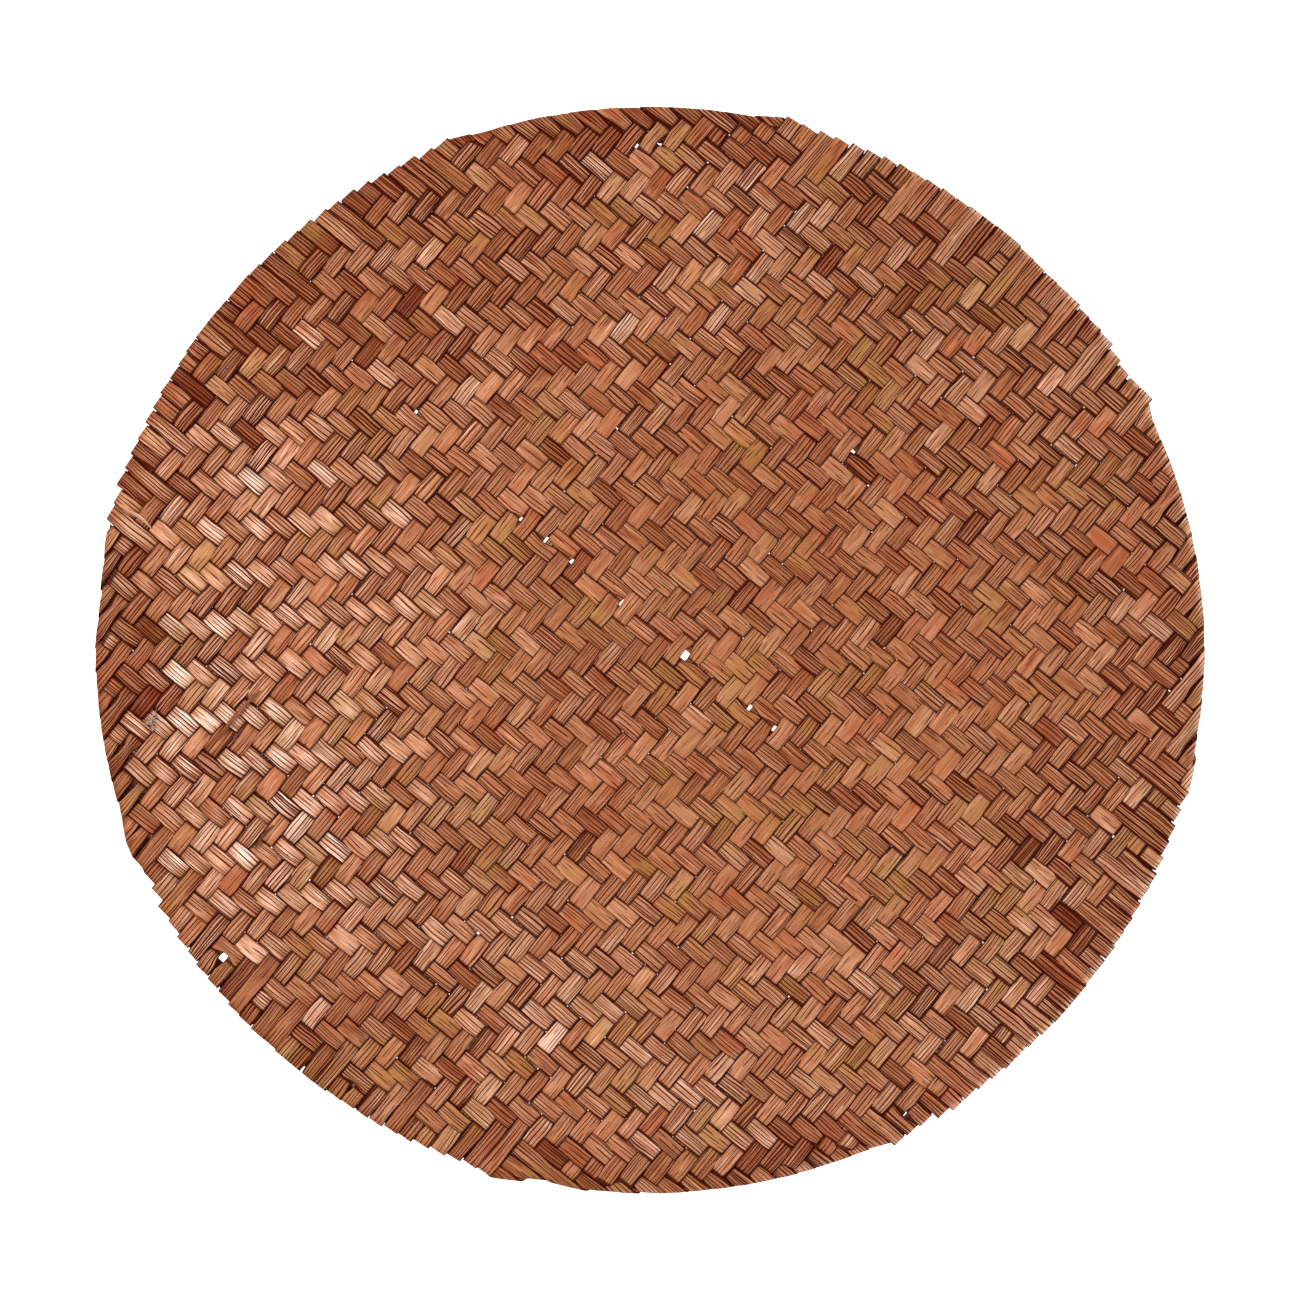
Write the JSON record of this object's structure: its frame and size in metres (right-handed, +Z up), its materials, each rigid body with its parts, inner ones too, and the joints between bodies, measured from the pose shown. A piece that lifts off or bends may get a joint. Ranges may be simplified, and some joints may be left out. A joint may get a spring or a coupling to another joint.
{
  "type": "placemat",
  "caption": "Round woven placemat: one thin flat mat of plaited leaf strips with a folded, unbound edge.",
  "frame": {"origin": "centre of the mat on its flat underside", "axes": "+Z up out of the top face, +X along the mat's slightly wider way, +Y away from the person it is laid for"},
  "size_m": [0.3799, 0.3722, 0.0027],
  "materials": {
    "dyed_leaf": "matte, dry dyed leaf strips, reddish brown"
  },
  "bodies": {
    "root": {"mat": "dyed_leaf"}
  },
  "joints": []
}
